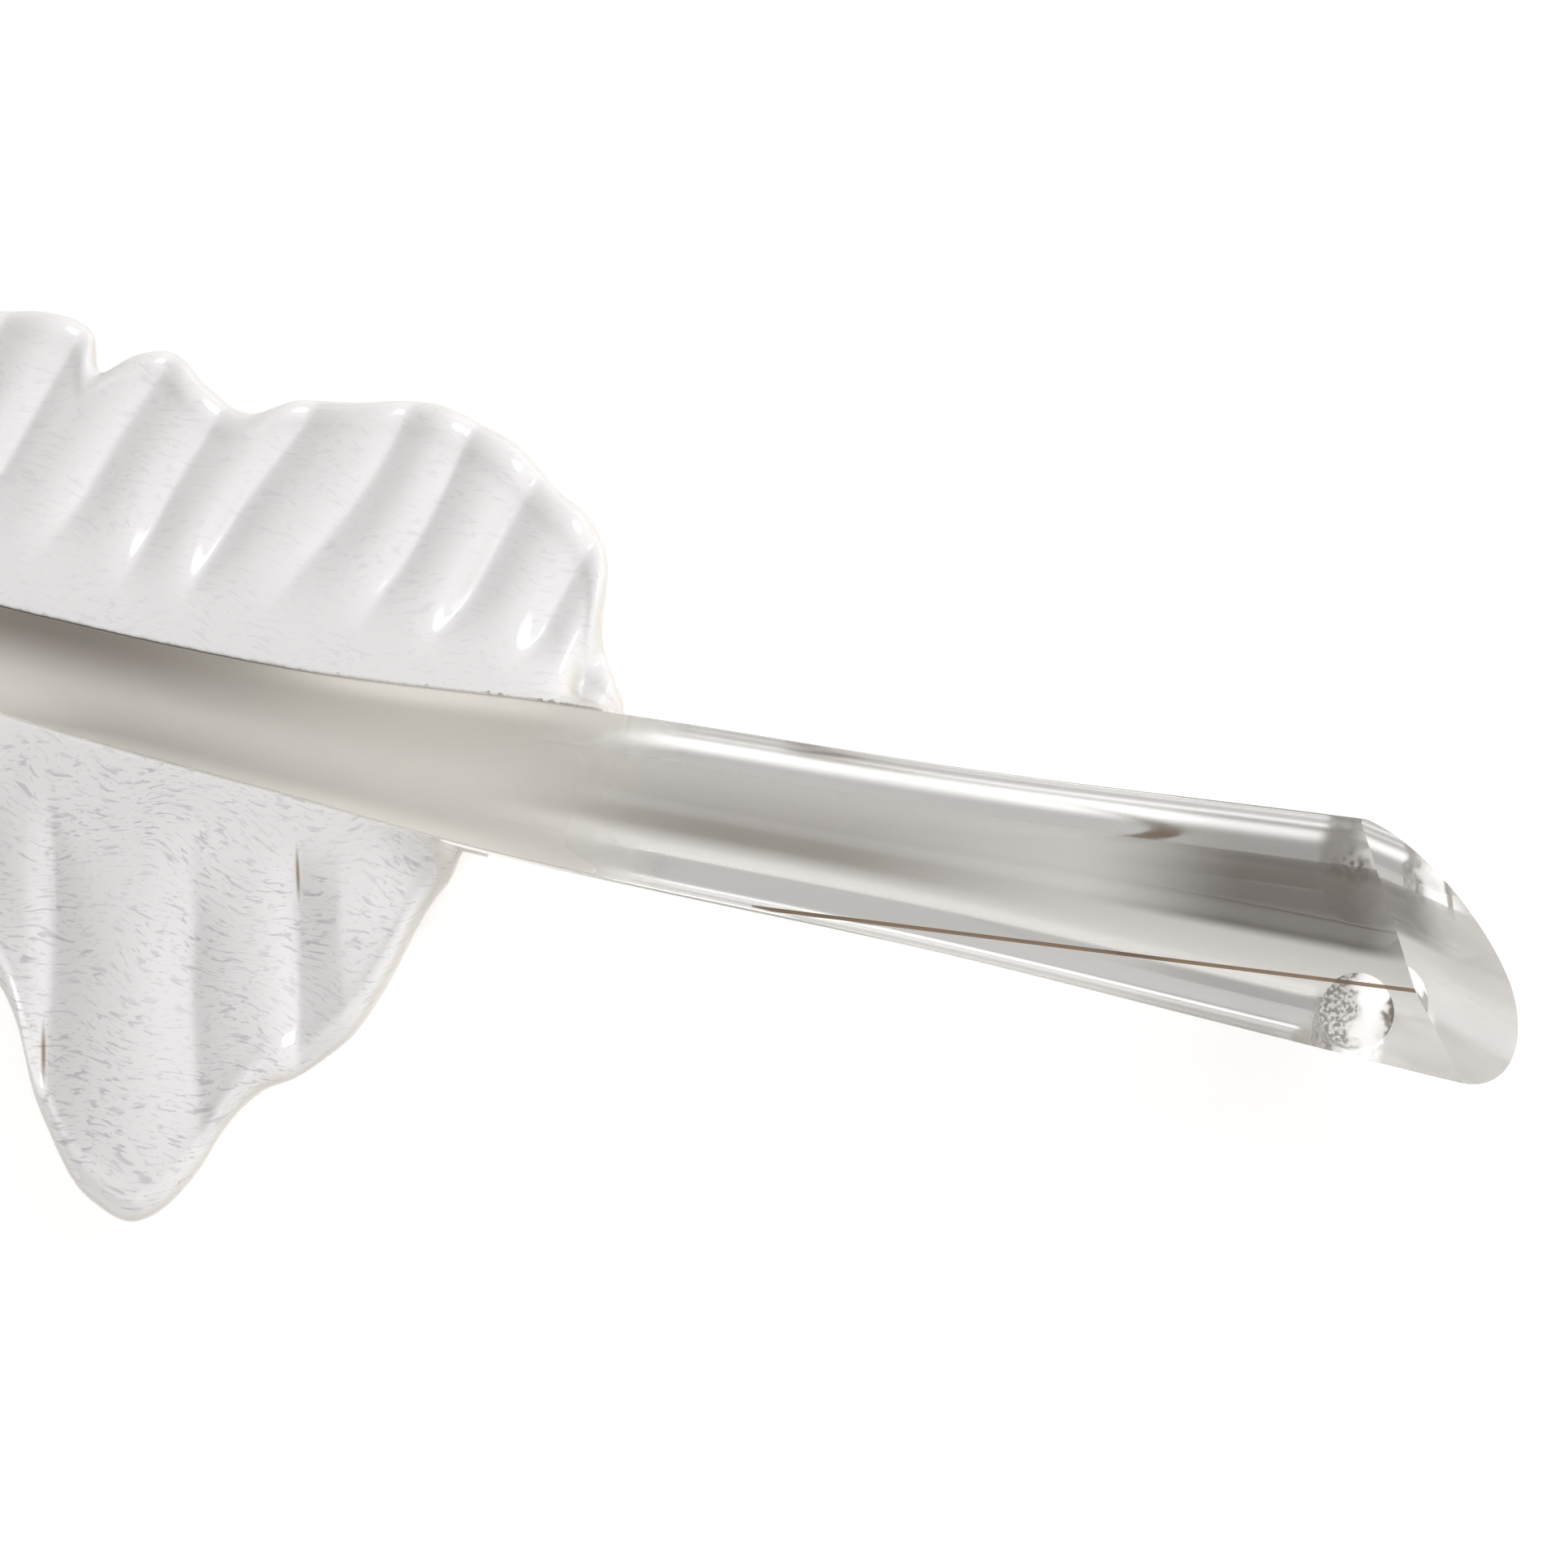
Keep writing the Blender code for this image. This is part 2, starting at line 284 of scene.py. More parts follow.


# The fire-finished back and sides keep the rod's soft skin. A thin grey-brown painted shade lies over them:
# faint along the near half, dense towards the nib, where it gives the dark, soft-edged middle that shows
# through the flat. Along is in mm and across is the share of the half width. Each holds the soft steps of
# patchShare.
backSet = {
    "backFaintTint": "#f6f4f1",
    "paintedShadeMid": "#9d968e",
    "paintedShadeDark": "#5e5750",
    "midAlong": [(-112, -84), (-56, -22, 1.0, 0.15)],
    "midAcross": [(-0.30, -0.10), (-0.10, 0.62, 1.0, 0.25)],
    "darkAlong": [(-27, -6), (8, 18, 1.0, 0.2)],
    "darkAcross": [(-0.06, 0.05)],
    "paintedDimAcross": [(0.50, 0.62), (0.88, 0.96, 1.0, 0.0)],  # painted shade, partly opaque, that dims what the side mirrors
    "paintedDimOpaque": 0.38,
    "paintedToeLightColour": "#ffffff",
    "paintedToeLightAlong": [(7, 15)],  # painted light: a white patch under the pen cut's toe, on the near side
    "paintedToeLightAcross": [(-0.05, -0.55)],
    "paintedToeLightOpaque": 0.6,
    "skinAcross": (0.55, 0.85),
    "skinRough": 0.14,
}

# Where the vanes are fused on, the white glass lies right against the crystal, so the shaft's sides show it
# instead of mirroring the sky. A painted glow lies along both edges, standing in for light that comes
# through the thin root, and the far side is darker with painted shade, standing in for the vane's own shade.
fusedSet = {
    "along": (-66, -100),
    "white": "#eeece8",
    "shade": "#9d9791",
    "shadeAcross": (0.05, 0.85),
    "shadeAlong": (-102, -148),
    "rough": 0.5,
    "paintedGlow": 0.28,
    "glowNear": (-0.50, -0.95),
    "glowWide": (0.25, -0.55),  # painted glow: at the thin end it covers the whole near half, as if light came through
    "glowWideAlong": (-134, -154),
    "glowFar": (0.72, 0.97),
    "glowFarAlong": (-128, -106),
}


def crystalPulledBack():
    b, f = backSet, fusedSet
    material, tree = newMaterial("crystalPulledBack")
    x, y = shaftPlace(tree)

    def patch(along, across):
        return patchShare(tree, *[(x, *step) for step in b[along]], *[(y, *step) for step in b[across]])

    fused = patchShare(tree, (x, *f["along"]))
    paintedDim = patch("darkAlong", "paintedDimAcross")
    paintedToeLight = patch("paintedToeLightAlong", "paintedToeLightAcross")
    # painted shade: the far side of the fused white is darker
    shade = patchShare(tree, (y, *f["shadeAcross"]), (x, *f["shadeAlong"]))
    white = layColours(tree, f["white"], (f["shade"], shade))
    # painted shade: the grey-brown middle and the dark towards the nib; painted light: the white patch under
    # the toe
    colour = layColours(tree, b["backFaintTint"],
                        (b["paintedShadeMid"], patch("midAlong", "midAcross")),
                        (b["paintedShadeDark"], patch("darkAlong", "darkAcross")),
                        (b["paintedToeLightColour"], paintedToeLight),
                        (white, fused))
    # the painted shade band and the painted toe light are partly opaque, so they hide what the glass would
    # show
    clearness = patchShare(tree, (paintedDim, 0.0, 1.0, 1.0, 1 - b["paintedDimOpaque"]), (fused, 0.0, 1.0, 1.0, 0.0),
                           (paintedToeLight, 0.0, 1.0, 1.0, 1 - b["paintedToeLightOpaque"]))

    sideways = addNode(tree, "ShaderNodeMath", {0: y}, operation="ABSOLUTE")
    skin = patchShare(tree, (sideways, *b["skinAcross"], 0.0, b["skinRough"]))
    matt = patchShare(tree, (fused, 0.0, 1.0, 0.0, f["rough"]))
    rough = addNode(tree, "ShaderNodeMath", {0: skin, 1: matt}, operation="ADD")

    # painted light: the fused white glows by emission along its edges
    wide = patchShare(tree, (y, *f["glowWide"]), (x, *f["glowWideAlong"]))
    near = patchShare(tree, (y, *f["glowNear"]))
    near = addNode(tree, "ShaderNodeMath", {0: near, 1: wide}, operation="MAXIMUM")
    far = patchShare(tree, (y, *f["glowFar"]), (x, *f["glowFarAlong"]))
    both = addNode(tree, "ShaderNodeMath", {0: near, 1: far}, operation="ADD")
    lit = addNode(tree, "ShaderNodeMath", {0: both, 1: fused}, operation="MULTIPLY")

    finishCrystal(tree, {"Base Color": colour, "Transmission Weight": clearness, "Roughness": rough,
                         "Emission Color": layColours(tree, "#000000", (f["white"], lit)),
                         "Emission Strength": f["paintedGlow"]})
    return material


def shaftRings():
    s = shaftSet
    xs = np.linspace(s["tipX"], s["endX"], s["stations"])
    wide, top = halfWidth(xs), flatZ(xs)
    widest = top * (1 - s["shoulderShare"])
    arris = s["arrisShare"] * wide
    rows = []
    for k in range(s["arrisSteps"] + 1):
        turn = math.radians(90 * (1 - k / s["arrisSteps"]))
        rows.append((-wide + arris - arris * math.cos(turn), widest + (top - widest) * math.sin(turn)))
    for k in range(1, s["backSteps"]):
        turn = math.pi * k / s["backSteps"]
        across = math.copysign(abs(math.cos(turn)) ** (2 / s["backPower"]), math.cos(turn))
        rows.append((-wide * across, widest - widest * math.sin(turn) ** (2 / s["backPower"])))
    for k in range(s["arrisSteps"] + 1):
        turn = math.radians(90 * k / s["arrisSteps"])
        rows.append((wide - arris + arris * math.cos(turn), widest + (top - widest) * math.sin(turn)))
    grid = np.empty((len(xs), len(rows), 3))
    for k, (y, z) in enumerate(rows):
        grid[:, k] = np.stack([xs, middleY(xs) + y, z], axis=1)
    return grid


def takeAway(obj, name, bm, moves, material):  # the cut faces take the cutter's material
    mesh = bpy.data.meshes.new(name)
    bm.to_mesh(mesh)
    bm.free()
    for move in moves:
        mesh.transform(move)
    mesh.materials.append(material)
    cutter = bpy.data.objects.new(name, mesh)
    bpy.context.scene.collection.objects.link(cutter)
    modifier = obj.modifiers.new("cut", "BOOLEAN")
    modifier.solver = "EXACT"
    modifier.operation = "DIFFERENCE"
    modifier.material_mode = "TRANSFER"
    modifier.object = cutter
    graph = bpy.context.evaluated_depsgraph_get()
    cut = bpy.data.meshes.new_from_object(obj.evaluated_get(graph))
    obj.modifiers.clear()
    obj.data = cut
    bpy.data.objects.remove(cutter)


def grindFlat(obj, name, centre, outward, side, material):  # takes off all that lies beyond a plane
    size = side * mm
    bm = bmesh.new()
    bmesh.ops.create_cube(bm, size=size)
    bmesh.ops.translate(bm, verts=bm.verts, vec=(0, 0, size / 2))
    turn = outward.to_track_quat("Z", "Y").to_matrix().to_4x4()
    takeAway(obj, name, bm, [turn, Matrix.Translation(centre * mm + shift)], material)


def drillHole(obj, material):
    s = shaftSet
    depth = (s["holeTop"] + s["holeOver"]) * mm
    radius = s["holeRadius"] * mm
    middle = Vector((*s["holeAt"], s["holeTop"])) * mm + shift - Vector((0, 0, depth / 2))
    bm = bmesh.new()
    bmesh.ops.create_cone(bm, cap_ends=True, segments=s["holeSides"], radius1=radius, radius2=radius,
                          depth=depth)
    bmesh.ops.translate(bm, verts=bm.verts, vec=middle)
    takeAway(obj, "holeCut", bm, [], material)


def markPlaces(shaft, clear, back):  # each corner keeps its place on the rod, and the back gets its skin
    mesh = shaft.data
    mesh.materials.append(back)
    slots = [m.name for m in mesh.materials]
    spots = np.empty(len(mesh.vertices) * 3)
    mesh.vertices.foreach_get("co", spots)
    spots = (spots.reshape(-1, 3) - np.array(shift)) / mm
    across = (spots[:, 1] - middleY(spots[:, 0])) / halfWidth(spots[:, 0])
    place = mesh.uv_layers.new(name="shaftPlace")
    for face in mesh.polygons:
        for loop in face.loop_indices:
            corner = mesh.loops[loop].vertex_index
            place.data[loop].uv = (spots[corner, 0], across[corner])
        if slots[face.material_index] == clear.name and face.normal.z < shaftSet["backBelow"]:
            face.material_index = slots.index(back.name)


def makeShaft():
    s = shaftSet
    clear, back = crystalPolished(), crystalPulledBack()
    matt, rubbed = crystalGroundMatt(), crystalRubbedRidge()
    grid = shaftRings()
    points = grid.reshape(-1, 3) * mm + np.array(shift)
    shaft = meshObject("clearShaft", points, ringFaces(*grid.shape[:2]), clear)
    left = Vector((*s["facetLeft"], float(flatZ(s["facetLeft"][0]))))
    right = Vector((*s["facetRight"], float(flatZ(s["facetRight"][0]))))
    ridge = (left + right) / 2
    flatNormal = Vector((-s["flatSlope"], 0, 1)).normalized()
    facetNormal = Quaternion((right - left).normalized(), math.radians(s["facetTilt"])) @ flatNormal
    ridgeNormal = (flatNormal + facetNormal).normalized()
    cutNormal = Vector((1, *s["cutLean"])).normalized()
    rubbedAt = ridge - ridgeNormal * s["ridgeRub"]
    grindFlat(shaft, "facetCut", ridge, facetNormal, s["facetBlock"], clear)
    grindFlat(shaft, "ridgeRub", rubbedAt, ridgeNormal, s["facetBlock"], rubbed)
    grindFlat(shaft, "penCut", Vector((s["cutX"], 0, s["flatHeight"])), cutNormal, s["cutBlock"], clear)
    drillHole(shaft, matt)
    markPlaces(shaft, clear, back)
    shaft.data.shade_smooth()
    shaft.data.set_sharp_from_angle(angle=math.radians(s["sharpFrom"]))
    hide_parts("quill_shaft")
    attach(shaft, "root")
    print("shaft made,", len(shaft.data.polygons), "faces,", [m.name for m in shaft.data.materials])


# Both vanes, in mm. A rim or a groove is followed along the vane's lean to the shaft's middle line, which
# gives its x. A rim's second number is how far it lies from that line.
vaneSet = {
    "gap": 0.05,  # the solids keep 0.3 mm, the real glass is fused
    "rootProud": 0.25,
    "leastWidth": 1.2,
    "rimThick": 7.0,
    "rimToShaft": 0.62,
    "rimSteep": 1.1,
    "roundShare": 0.45,
    "rootSteep": 1.6,
    "topPower": 1.6,
    "wallFoot": 1.6,
    "wallDrop": 0.9,
    "footChamfer": 0.3,
    "pleatDepth": 2.8,
    "pleatFrom": 0.12,
    "pleatFull": 0.55,
    "pleatFade": 0.35,
    "pleatSkew": 1.2,
    "endReach": 6.0,
    "uneven": [(0.18, 0, 0.41, 1), (0.1, 0, 0.17, 0)],  # no two grooves are alike: rows as waves reads them
    "creaseRound": 0.33,  # mm over which a groove's sharp foot is rounded by the fire polish
    "creaseReach": 3,
    "tableStep": 0.05,
    "tableBeyond": 4,
    "wander": 0.7,  # mm by which a groove strays from its straight line
    "bends": [(1.0, 2.6, 0.23, 0), (0.6, 6.1, 0.11, 1)],
    "lip": 0.3,
    "lipWide": 1.1,
    "lipWidths": (3, 9),  # a vane narrower than this has no lip, and a wider one all of it
    "nibble": 0.16,
    "nibbleSeed": 7,
    "stations": 640,
    "wallSteps": 8,
    "topSteps": 96,
    "rimSteps": 22,
}

farSet = {
    "side": 1,
    "nibbled": 1,
    "lean": 18,
    "endWidths": (6.0, 16.0),  # a thin end stands beside the rod, and what is wider fits under it
    "rim": [(-83, 11.2), (-87, 15), (-91, 20), (-94.2, 27.4), (-98.9, 32.7), (-104.2, 35.5),
            (-111.3, 39.8), (-117.2, 41.8), (-124.3, 43.0), (-131, 41.2), (-138, 39.8), (-141.8, 37.0),
            (-148.5, 38.8), (-154.5, 41.8), (-158, 40.2), (-160.6, 37.2), (-164.1, 41.6),
            (-170, 42.4), (-176, 40.6), (-183, 35.6), (-192, 38.0), (-202, 36.8), (-211, 31.4),
            (-222, 32.0), (-233, 29.0), (-243, 23.6), (-254, 21.4), (-266, 15.8), (-276, 9.5), (-284, 3.4)],
    "grooves": [-89.5, -97.8, -107, -116.5, -126.2, -136, -145, -154.6, -164, -173.5, -183, -192.5,
                -202, -211.5, -221, -230.5, -240, -249.5, -259, -268.5, -278],
}

nearSet = {
    "side": -1,
    "nibbled": 0.2,
    "lean": 12,
    "endWidths": (0.0, 1.0),
    "rim": [(-94.3, 7.2), (-98.1, 11.0), (-102, 17.1), (-105.8, 24.9), (-109.6, 31.2), (-113.5, 35.1),
            (-117.3, 38.1), (-121.1, 40.5), (-124.9, 44.9), (-128.7, 51.2), (-132.5, 55.9), (-136.3, 58.2),
            (-140.1, 57.3), (-143, 55.3), (-146, 50.6), (-148, 46.3), (-149.7, 40.1), (-152.4, 35.3),
            (-156.8, 32.6), (-163.5, 39.6), (-172, 44.8), (-181, 44.0), (-189.7, 38.0), (-198.6, 39.0),
            (-208.9, 36.8), (-218.6, 30.4), (-229.6, 30.2), (-240, 26.4), (-249.7, 20.2), (-260.1, 16.6),
            (-270.8, 10.6), (-284, 3.4)],
    "grooves": [-116.4, -128.6, -146.2, -157.5, -170, -182.5, -195, -207, -218.5, -230, -241, -252,
                -262, -272],
}

# White glass: opal glass, hot pressed and fire polished. It is white and glossy, a little light passes under
# the skin, and its steep rim takes a warmer grey of painted shade. It holds short grey flecks of drawn-out
# frit, and a brown stain is left in two creases, whose x is followed along the lean as a groove's is.
opalSet = {
    "white": "#e7e6e7",
    # painted shade: the warmer grey that the steep rim takes
    "rim": "#cfcac4",
    "paintedRimShadeTurn": (0.80, 0.25),  # how far the skin looks up where the painted rim shade begins and is full
    "roughness": 0.11,
    "ior": 1.5,
    "skin": 0.3,  # share of the light that goes under the skin
    "skinDeep": 0.003,  # metres
    "skinReach": (1, 0.97, 0.92),  # red light goes a little further than blue
    "fleck": "#98979c",
    "flecks": [((0.50, 1.9), 0.57, 0.74, 0.42),  # for each mm along and across, begins, full, strength
               ((0.9, 3.6), 0.60, 0.75, 0.30)],
    "fleckBend": 0.5,
    "drift": 0.07,  # for each mm: the slow swirl that bends the flecks
    "driftReach": (7.0, 7.0, 0),
    "crowds": 0.11,  # for each mm: where the flecks lie close
    "crowdDetail": 2.0,
    "crowdTurn": (0.34, 0.60, 0.45, 1.0),
    "farShare": 0.3,  # the far vane carries fewer flecks
    "stain": "#7d6134",
    "stains": [((-116.2, -15.5), (0.35, 4.0)), ((-146.6, -42.0), (0.4, 4.5))],  # middle, half its size
    "stainTurn": (1.0, 0.1, 0.0, 0.8),
}


def opalGlassFirePolished():
    o = opalSet
    material, tree = newMaterial("opalGlassFirePolished")
    place = addNode(tree, "ShaderNodeUVMap", uv_map="vaneMm")
    parts = addNode(tree, "ShaderNodeSeparateXYZ", {"Vector": place}).node
    x, y = parts.outputs["X"], parts.outputs["Y"]
    normal = addNode(tree, "ShaderNodeNewGeometry", gives="Normal")
    up = addNode(tree, "ShaderNodeSeparateXYZ", {"Vector": normal}, "Z")
    # painted shade: steep faces, such as the rim, take a warmer grey
    colour = layColours(tree, o["white"], (o["rim"], patchShare(tree, (up, *o["paintedRimShadeTurn"]))))

    slow = addNode(tree, "ShaderNodeTexNoise", {"Vector": place, "Scale": o["drift"], "Detail": 1.0},
                   "Color", noise_dimensions="2D")
    swirl = addNode(tree, "ShaderNodeVectorMath", {0: slow, 1: o["driftReach"], 2: place},
                    operation="MULTIPLY_ADD")
    patches = addNode(tree, "ShaderNodeTexNoise", {
        "Vector": place, "Scale": o["crowds"], "Detail": o["crowdDetail"]}, noise_dimensions="2D")
    crowd = patchShare(tree, (patches, *o["crowdTurn"]), (y, -1.0, 1.0, 1.0, o["farShare"]))
    for scale, begins, full, strength in o["flecks"]:  # frit drawn out along the shaft's direction
        drawn = addNode(tree, "ShaderNodeVectorMath", {0: swirl, 1: (*scale, 0)}, operation="MULTIPLY")
        frit = addNode(tree, "ShaderNodeTexNoise", {
            "Vector": drawn, "Scale": 1.0, "Detail": 1.0, "Distortion": o["fleckBend"],
        }, noise_dimensions="2D")
        shape = patchShare(tree, (frit, begins, full, 0.0, strength))
        share = addNode(tree, "ShaderNodeMath", {0: shape, 1: crowd}, operation="MULTIPLY")
        colour = layColours(tree, colour, (o["fleck"], share))

    lean = math.tan(math.radians(nearSet["lean"]))
    rootX = addNode(tree, "ShaderNodeMath", {0: y, 1: lean, 2: x}, operation="MULTIPLY_ADD")
    spot = addNode(tree, "ShaderNodeCombineXYZ", {"X": rootX, "Y": y})
    for (stainX, stainY), (wide, long) in o["stains"]:
        away = addNode(tree, "ShaderNodeVectorMath", {
            0: spot, 1: (1 / wide, 1 / long, 0), 2: (-stainX / wide, -stainY / long, 0),
        }, operation="MULTIPLY_ADD")
        far = addNode(tree, "ShaderNodeVectorMath", {0: away}, "Value", operation="LENGTH")
        colour = layColours(tree, colour, (o["stain"], patchShare(tree, (far, *o["stainTurn"]))))

    shader = addNode(tree, "ShaderNodeBsdfPrincipled", {
        "Base Color": colour, "Roughness": o["roughness"], "IOR": o["ior"], "Subsurface Weight": o["skin"],
        "Subsurface Radius": o["skinReach"], "Subsurface Scale": o["skinDeep"]})
    addNode(tree, "ShaderNodeOutputMaterial", {"Surface": shader})
    return material


def pleatShare(grooves, rootX):  # round on top, a little fuller towards the cut end, creased on both sides
    edges = np.array(sorted(grooves), float)
    i = np.clip(np.searchsorted(edges, rootX, side="right") - 1, 0, len(edges) - 2)
    share = np.clip((rootX - edges[i]) / (edges[i + 1] - edges[i]), 0, 1) ** vaneSet["pleatSkew"]
    outside = np.minimum(1.0, np.maximum(edges[0] - rootX, rootX - edges[-1]) / vaneSet["endReach"])
    return np.where((rootX <= edges[0]) | (rootX >= edges[-1]), outside, 4 * share * (1 - share))


def roundedPleats(grooves, low, high):  # the same curve with its creases rounded, as a table to read from
    s = vaneSet
    step = s["tableStep"]
    at = np.arange(low - s["tableBeyond"], high + s["tableBeyond"], step)
    reach = np.arange(-s["creaseReach"], s["creaseReach"] + step / 2, step)
    kernel = np.exp(-0.5 * (reach / s["creaseRound"]) ** 2)
    pleats = np.convolve(pleatShare(grooves, at), kernel / kernel.sum(), mode="same")
    return at, pleats


# Slow waves, added up. A row holds a share, radians from root to rim and for each mm along, and 1 where the
# two vanes differ.
def waves(rows, t, rootX, side):
    return sum(share * np.sin(outward * t + rootX * along + differs * side)
               for share, outward, along, differs in rows)


# The vane's section at every station, as columns of points: up the wall beside the shaft, out over the top,
# round the rim and back below. Each column holds how far out, how high, and how far out when rolled flat.
def vaneColumns(v, rootX, sideX):  # sideX is about where each station meets the shaft's side
    s, side = vaneSet, v["side"]
    width = np.maximum(smoothThrough(v["rim"], rootX) - halfWidth(sideX) - s["gap"], s["leastWidth"])
    rimHigh = np.minimum(np.minimum(s["rimThick"], s["rimToShaft"] * flatZ(sideX)),
                         s["rimSteep"] * width + s["leastWidth"])
    rimRound = np.minimum(rimHigh / 2, s["roundShare"] * width)
    rootTop = np.minimum(flatZ(sideX) + s["rootProud"], rimHigh + s["rootSteep"] * width)
    wallTop = np.minimum(flatZ(sideX) * (1 - shaftSet["shoulderShare"]), rootTop - s["wallDrop"])
    inner = backY(sideX, rootTop) + s["gap"]
    edge = inner + width - rimRound
    upright = 1 - easeIn(*v["endWidths"], width)
    columns = []
    for k in range(s["wallSteps"] + 1):
        z = s["wallFoot"] + (wallTop - s["wallFoot"]) * k / s["wallSteps"]
        out = backY(sideX, z) * (1 - upright) + (inner - s["gap"]) * upright + s["gap"]
        columns.append((out, z, out))

    tableX, tablePleat = roundedPleats(v["grooves"], rootX.min(), rootX.max())
    nibbles = np.abs(np.random.default_rng(s["nibbleSeed"]).normal(size=len(rootX)))
    strength = 1 + waves(s["uneven"], 0, rootX, side)
    for k in range(s["topSteps"] + 1):
        t = k / s["topSteps"]
        out = inner + (edge - inner) * t
        z = rimHigh + (rootTop - rimHigh) * (1 - t) ** s["topPower"]
        stray = s["wander"] * waves(s["bends"], t, rootX, side)
        pleat = np.interp(rootX + stray, tableX, tablePleat)
        groove = s["pleatDepth"] * (rimHigh / s["rimThick"]) * (1 - pleat)
        z = z - strength * groove * easeIn(s["pleatFrom"], s["pleatFull"], t) * (1 - s["pleatFade"] * t)
        fromEdge = (edge - out) / s["lipWide"]
        z = z + s["lip"] * np.exp(-fromEdge * fromEdge) * easeIn(*s["lipWidths"], width)
        if k == 0:  # the ground edge along the joint is nibbled into small teeth
            out = out + s["nibble"] * v["nibbled"] * nibbles
        columns.append((out, z, out))

    edgeZ = columns[-1][1]
    for k in range(1, s["rimSteps"]):
        turn = math.pi * k / s["rimSteps"]
        out, z = edge + rimRound * math.sin(turn), edgeZ / 2 + edgeZ / 2 * math.cos(turn)
        columns.append((out, z, out + edgeZ - z))
    foot = columns[0][0] + s["footChamfer"]
    columns.append((edge, 0 * edge, edge + edgeZ))
    columns.append((foot, 0 * edge, foot + edgeZ))
    return columns


def makeVane(name, node, v, material):
    side = v["side"]
    lean = math.tan(math.radians(v["lean"]))
    rimX = [p[0] for p in v["rim"]]
    rootX = np.linspace(max(rimX), min(rimX), vaneSet["stations"])
    columns = vaneColumns(v, rootX, rootX + halfWidth(rootX) * lean)
    grid = np.empty((len(rootX), len(columns), 3))
    flat = np.empty((len(rootX), len(columns), 2))
    for k, (out, z, rolled) in enumerate(columns):
        x = rootX + out * lean
        grid[:, k] = np.stack([x, middleY(x) + side * out, z], axis=1)
        flat[:, k] = np.stack([x, side * rolled], axis=1)
    faces = ringFaces(*grid.shape[:2])
    if side < 0:
        faces = [tuple(reversed(f)) for f in faces]
    vane = meshObject(name, grid.reshape(-1, 3) * mm + np.array(shift), faces, material)
    layer = vane.data.uv_layers.new(name="vaneMm")
    corners = np.empty(len(vane.data.loops), int)
    vane.data.loops.foreach_get("vertex_index", corners)
    layer.data.foreach_set("uv", flat.reshape(-1, 2)[corners].ravel())
    vane.data.shade_smooth()
    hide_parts(node)
    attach(vane, "root")
    print(name, "made,", len(vane.data.polygons), "faces")


# The studio, in metres: a light table under the glass and two softboxes over it
studioSet = {
    "floor": "#fdfdfd",
    "floorRough": 0.9,
    "floorHalf": 6.0,
    "floorGlow": 0.3,  # so that the glass is lit from below as well
    "glowColour": "#ffffff",
    "worldColour": "#fffdfa",
    "worldStrength": 0.55,
    "softboxes": [  # name, place, size, power, and how near the middle it is fully bright
        ("softboxNear", (0.0, -0.5, 0.95), (2.0, 1.0), 8.0, 0.15),
        ("keyRight", (0.75, 0.6, 0.5), (0.6, 0.6), 15.0, 0.2),
    ],
    "bounces": 24,
}


def makeFloor():
    s = studioSet
    material, tree = newMaterial("paleFloor")
    shader = addNode(tree, "ShaderNodeBsdfPrincipled", {
        "Base Color": s["floor"], "Roughness": s["floorRough"], "Emission Color": s["glowColour"],
        "Emission Strength": s["floorGlow"]})
    addNode(tree, "ShaderNodeOutputMaterial", {"Surface": shader})
    half = s["floorHalf"]
    points = [(-half, -half, 0), (half, -half, 0), (half, half, 0), (-half, half, 0)]
    floor = meshObject("floor", points, [(0, 1, 2, 3)], material)
    print("floor laid")


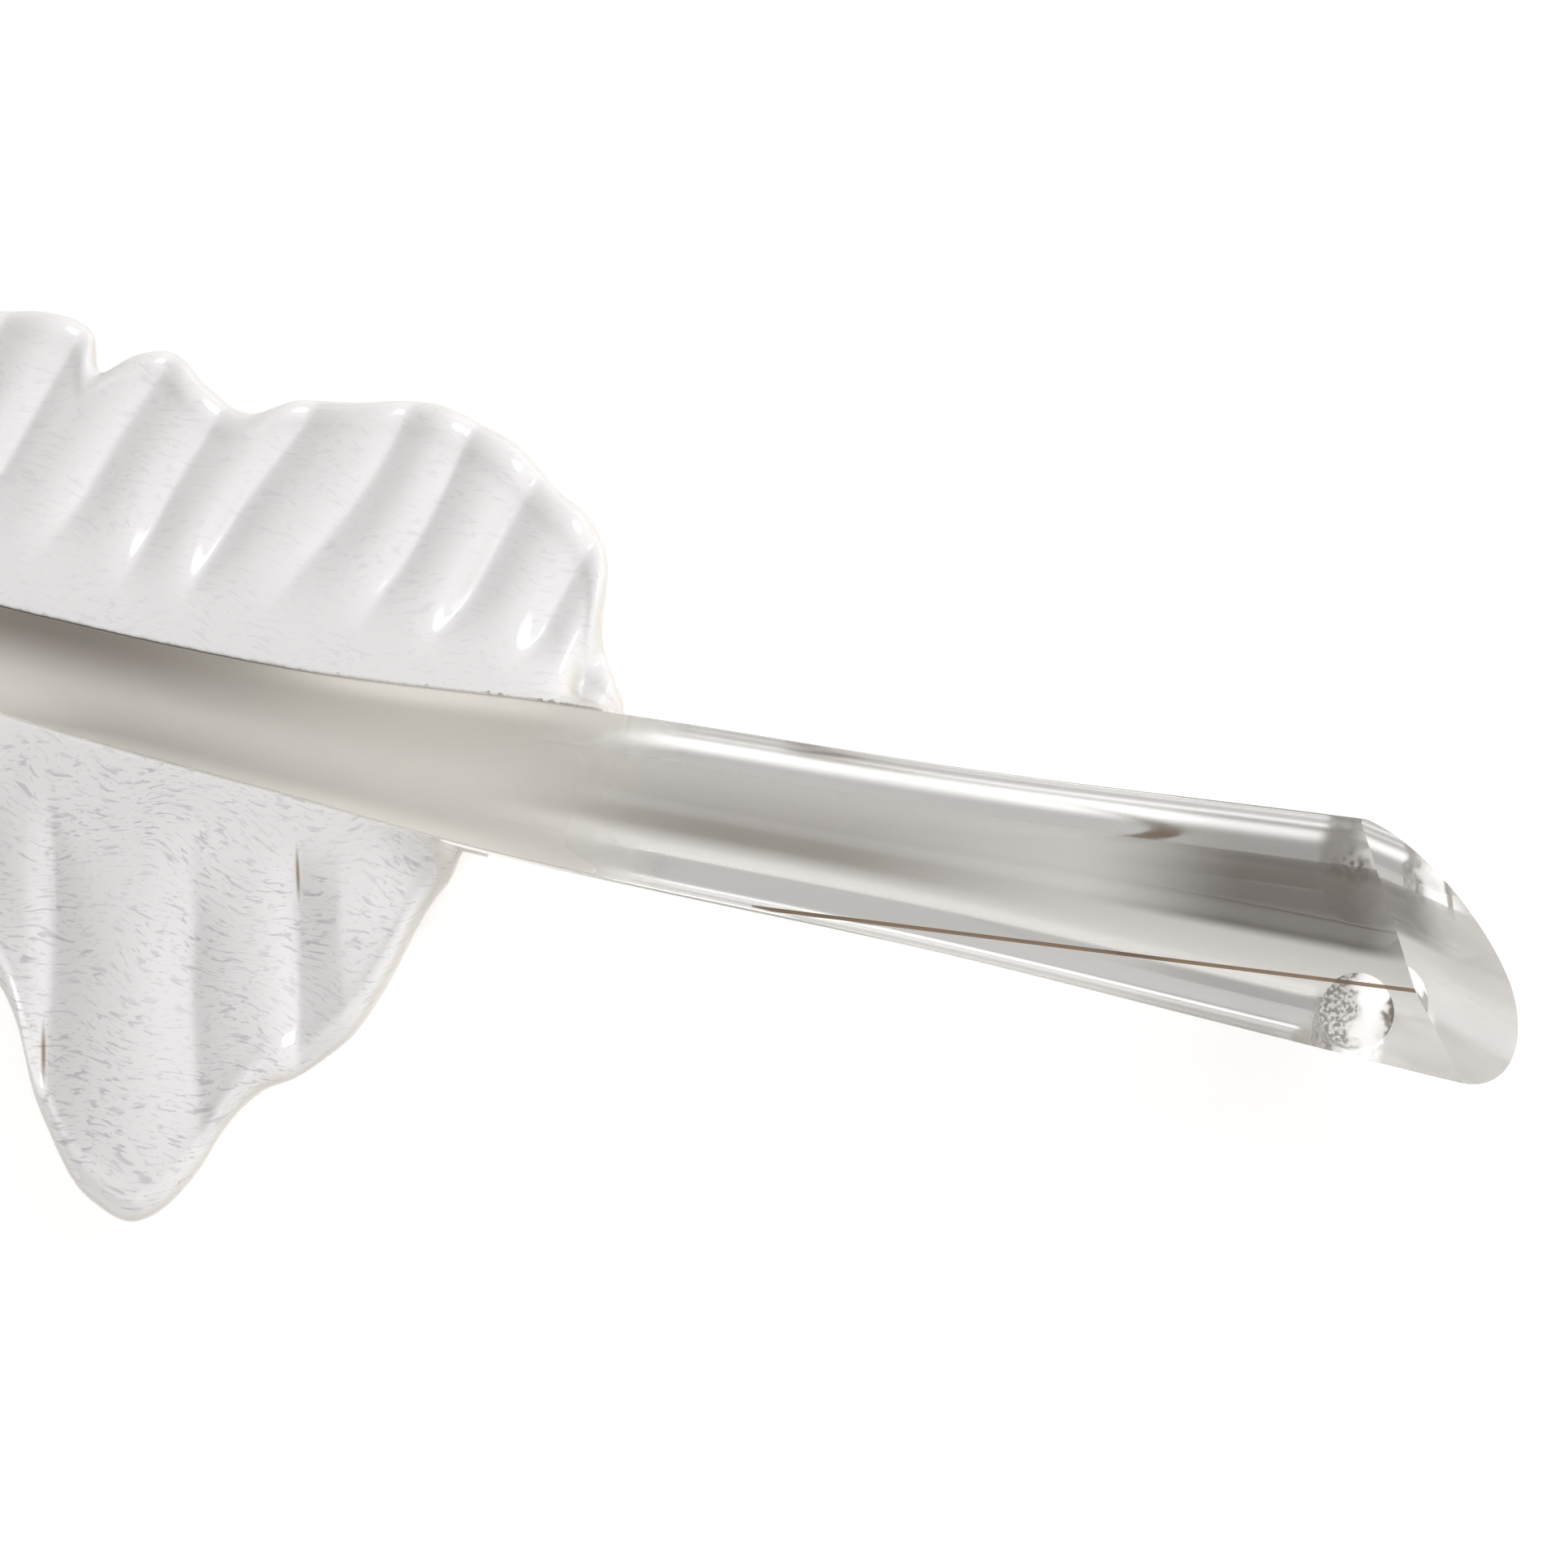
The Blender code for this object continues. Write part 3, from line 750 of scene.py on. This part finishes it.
def makeSoftbox(name, place, size, power, core):  # it fades out towards its edges and looks at the origin
    data = bpy.data.lights.new(name, "AREA")
    data.shape = "RECTANGLE"
    data.size, data.size_y = size
    data.energy = power
    data.use_nodes = True
    tree = data.node_tree
    spot = addNode(tree, "ShaderNodeNewGeometry", gives="Parametric")
    middle = (0.5, 0.5, 0)  # the lamp's square runs from 0 to 1
    fromMiddle = addNode(tree, "ShaderNodeVectorMath", {0: spot, 1: middle}, operation="SUBTRACT")
    away = addNode(tree, "ShaderNodeVectorMath", {0: fromMiddle}, "Value", operation="LENGTH")
    tree.links.new(patchShare(tree, (away, 0.5, core)), tree.nodes["Emission"].inputs["Strength"])
    light = bpy.data.objects.new(name, data)
    light.location = place
    light.rotation_mode = "QUATERNION"
    light.rotation_quaternion = (Vector((0, 0, 0)) - Vector(place)).to_track_quat("-Z", "Y")
    bpy.context.scene.collection.objects.link(light)


def makeStudio():
    world = bpy.data.worlds.new("studio")
    bpy.context.scene.world = world
    world.use_nodes = True
    background = world.node_tree.nodes["Background"]
    background.inputs["Color"].default_value = linearColour(studioSet["worldColour"])
    background.inputs["Strength"].default_value = studioSet["worldStrength"]
    for softbox in studioSet["softboxes"]:
        makeSoftbox(*softbox)
    bpy.context.scene.view_settings.view_transform = "Standard"
    cycles = bpy.context.scene.cycles
    cycles.blur_glossy = 0.0  # sharp glass stays sharp for the light that falls through it
    cycles.max_bounces = studioSet["bounces"]  # light runs along the rod by total reflection
    cycles.glossy_bounces = studioSet["bounces"]
    cycles.transmission_bounces = studioSet["bounces"]
    print("studio lit,", len(studioSet["softboxes"]), "softboxes")


# The photograph's own angle. lookAt is in the shaft's mm, the distance in metres, the angles in degrees.
cameraSet = {
    "lens": 121.53,
    "sensor": 36.0,
    "distance": 0.6,
    "azimuth": 11.09,
    "elevation": 80.0,
    "lookAt": (-60.03, 4.39, 16.0),
}


def makeCamera():
    c = cameraSet
    a, e = math.radians(c["azimuth"]), math.radians(c["elevation"])
    back = Vector((math.sin(a) * math.cos(e), -math.cos(a) * math.cos(e), math.sin(e)))
    data = bpy.data.cameras.new("camera")
    data.lens, data.sensor_width = c["lens"], c["sensor"]
    camera = bpy.data.objects.new("camera", data)
    camera.location = Vector(c["lookAt"]) * mm + shift + back * c["distance"]
    camera.rotation_mode = "QUATERNION"
    camera.rotation_quaternion = (-back).to_track_quat("-Z", "Y")
    bpy.context.scene.collection.objects.link(camera)
    bpy.context.scene.camera = camera
    print("camera set,", c["azimuth"], "and", c["elevation"], "degrees")


makeCamera()
makeShaft()
opal = opalGlassFirePolished()
makeVane("farVaneGlass", "far_vane", farSet, opal)
makeVane("nearVaneGlass", "near_vane", nearSet, opal)
makeFloor()
makeStudio()
